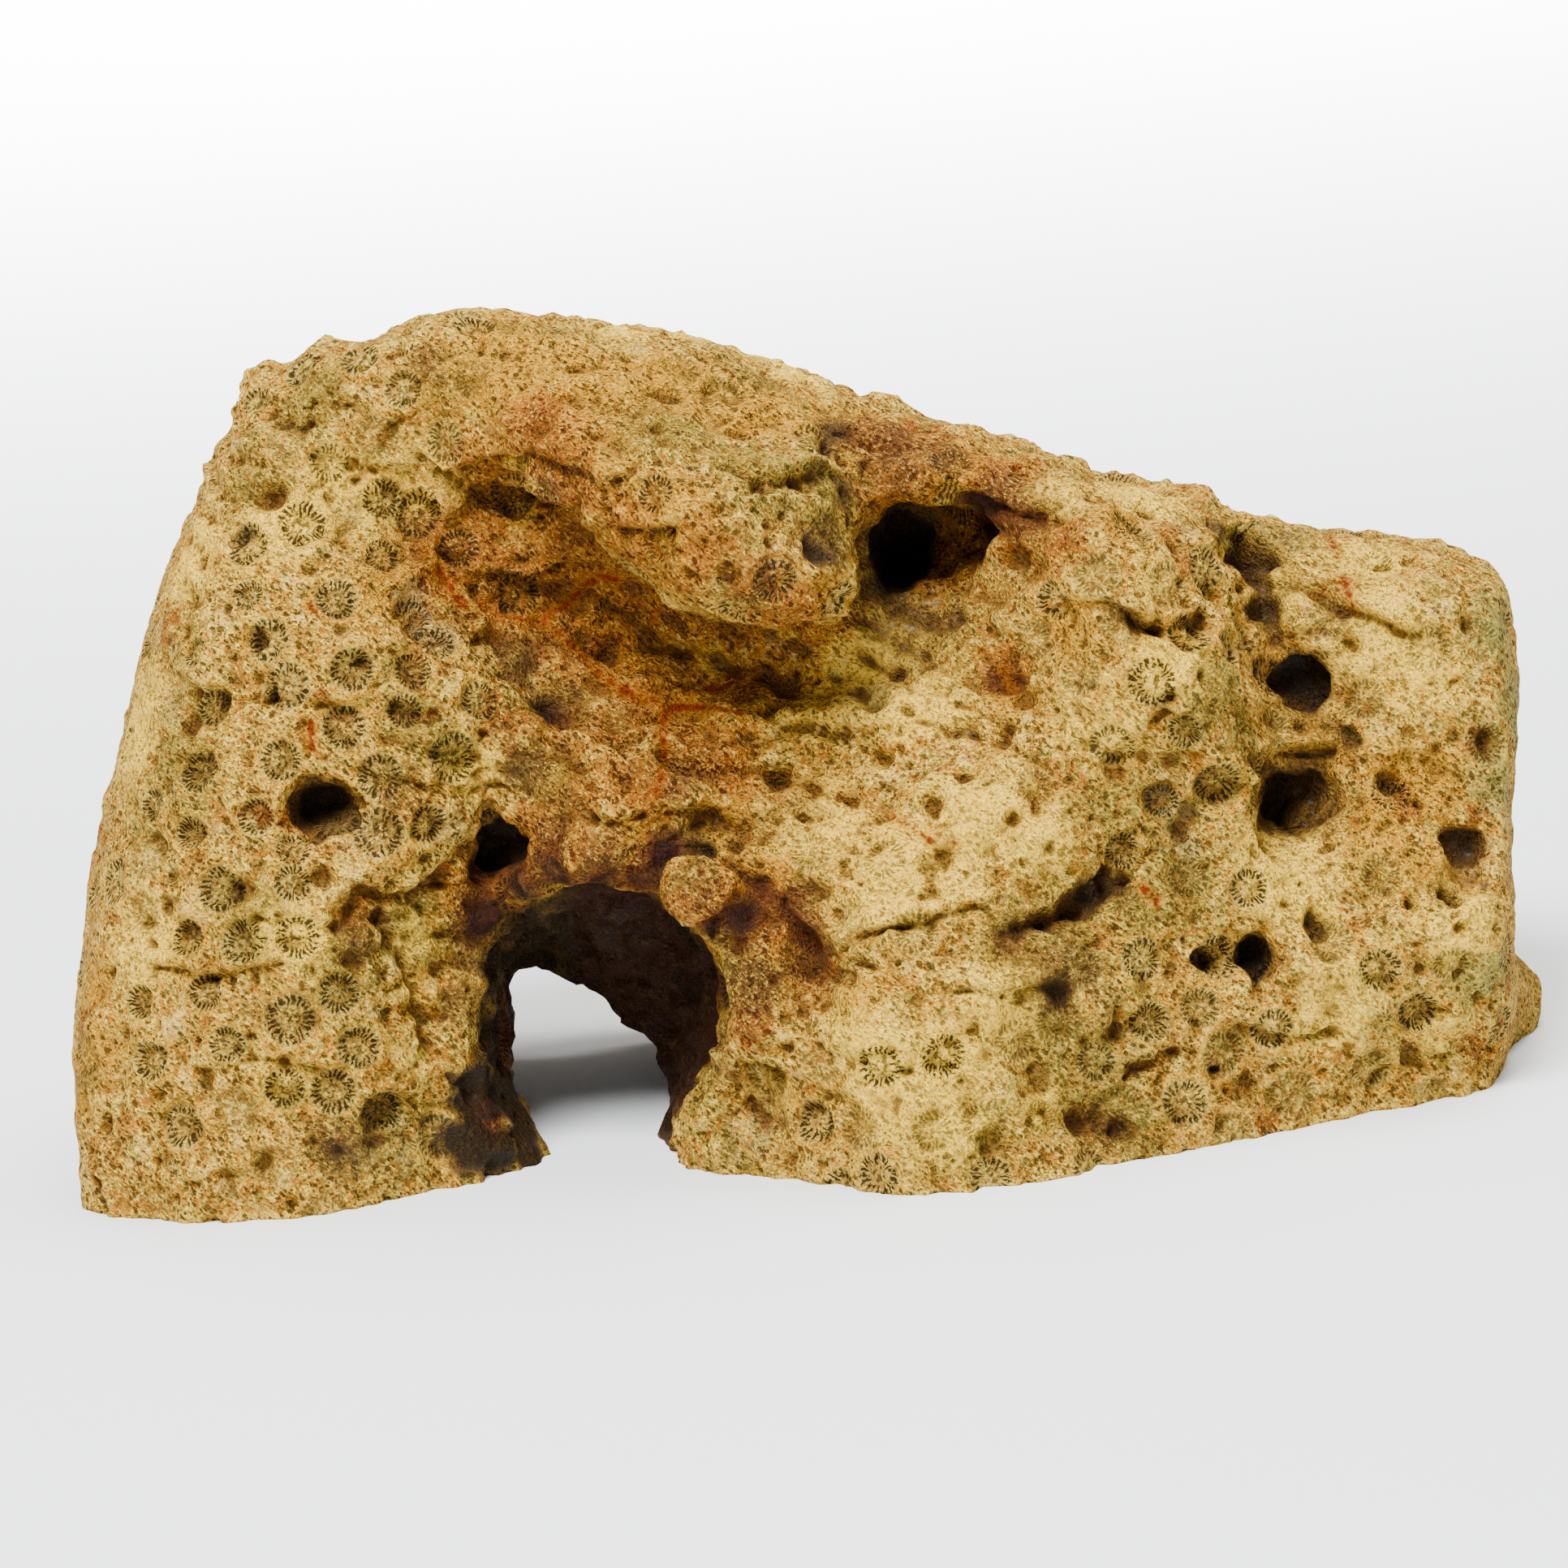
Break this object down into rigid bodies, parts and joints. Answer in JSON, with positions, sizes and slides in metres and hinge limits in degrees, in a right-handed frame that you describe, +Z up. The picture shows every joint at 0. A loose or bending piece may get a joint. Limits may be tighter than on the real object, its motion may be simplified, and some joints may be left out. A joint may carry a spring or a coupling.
{
  "type": "fossil coral",
  "caption": "Massive chunk of fossil coral with star-shaped cups, an overhanging nose, worn pits, an arch through its foot and a flat sawn base.",
  "frame": {"origin": "middle of the part's box in X and Y, on the plane of the sawn base", "axes": "+X along the length towards the low right end, -Y out of the weathered front, +Z up from the sawn base"},
  "size_m": [0.1116, 0.0562, 0.0617],
  "materials": {
    "coral_stone": "damp weathered stone, rough with a light gloss in its pits"
  },
  "bodies": {
    "root": {"fossil_coral": "coral_stone"}
  },
  "joints": []
}
